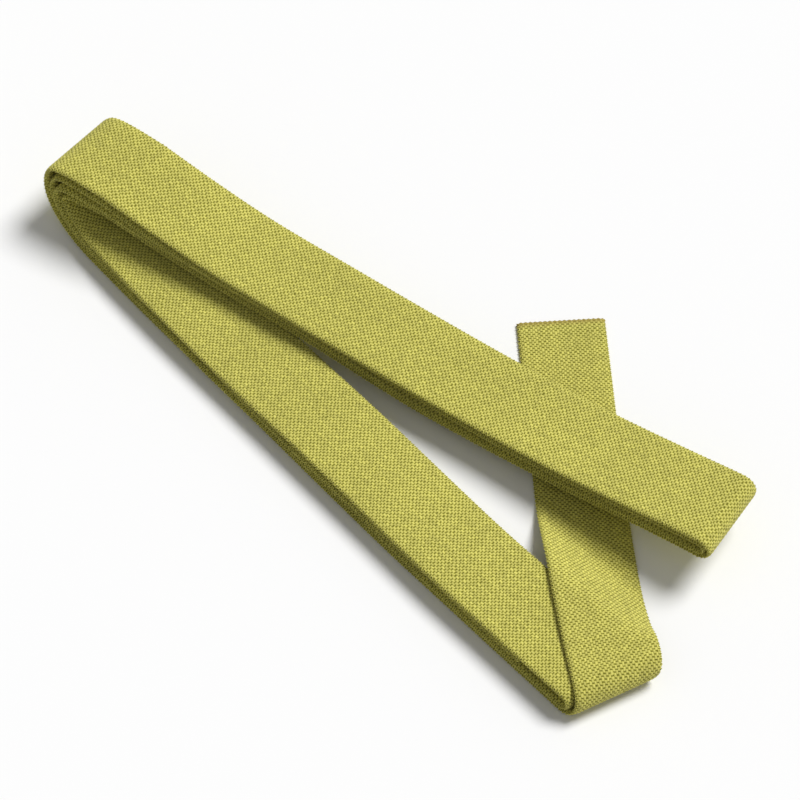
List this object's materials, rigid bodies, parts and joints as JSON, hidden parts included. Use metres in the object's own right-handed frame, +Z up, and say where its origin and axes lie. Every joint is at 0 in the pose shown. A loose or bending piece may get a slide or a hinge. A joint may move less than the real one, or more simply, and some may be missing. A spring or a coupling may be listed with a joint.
{
  "type": "stretching strap",
  "caption": "Flat woven cotton strap for stretching exercises, doubled up into a V-shaped hank of two layered bundles with one tail folded over.",
  "frame": {"origin": "centre of the footprint, on the surface that the strap lies on", "axes": "+Z up; +X along the middle of the V that the two bundles make, from the common fold towards their far ends"},
  "size_m": [0.3538, 0.1588, 0.0355],
  "materials": {
    "webbing": "plain-woven heavy cotton webbing, matt"
  },
  "bodies": {
    "lower_bundle": {"lower_run_top": "webbing", "lower_run_second": "webbing", "lower_run_third": "webbing", "lower_run_bottom": "webbing", "fold_outer": "webbing", "fold_second": "webbing", "fold_third": "webbing", "fold_inner": "webbing", "near_fold_inner": "webbing", "tail_fold": "webbing", "tail_over_bundle": "webbing", "tail_under_bundle": "webbing"},
    "upper_bundle": {"upper_run_top": "webbing", "upper_run_second": "webbing", "upper_run_third": "webbing", "upper_run_bottom": "webbing", "far_fold_outer": "webbing", "far_fold_inner": "webbing"},
    "free_end": {"free_end": "webbing"}
  },
  "joints": [
    {"name": "bundle_lift", "type": "hinge", "parent": "lower_bundle", "child": "upper_bundle", "pos_m": [-0.17187, -0.0219, 0.02], "axis": [0, -1, 0], "range_deg": [0, 90], "deforming": ["fold_outer", "fold_second", "fold_third", "fold_inner"]},
    {"name": "free_end_lift", "type": "hinge", "parent": "lower_bundle", "child": "free_end", "pos_m": [0.06252, 0.0355, 0.0022], "axis": [0.9905, 0.1374, 0], "range_deg": [0, 90]}
  ]
}
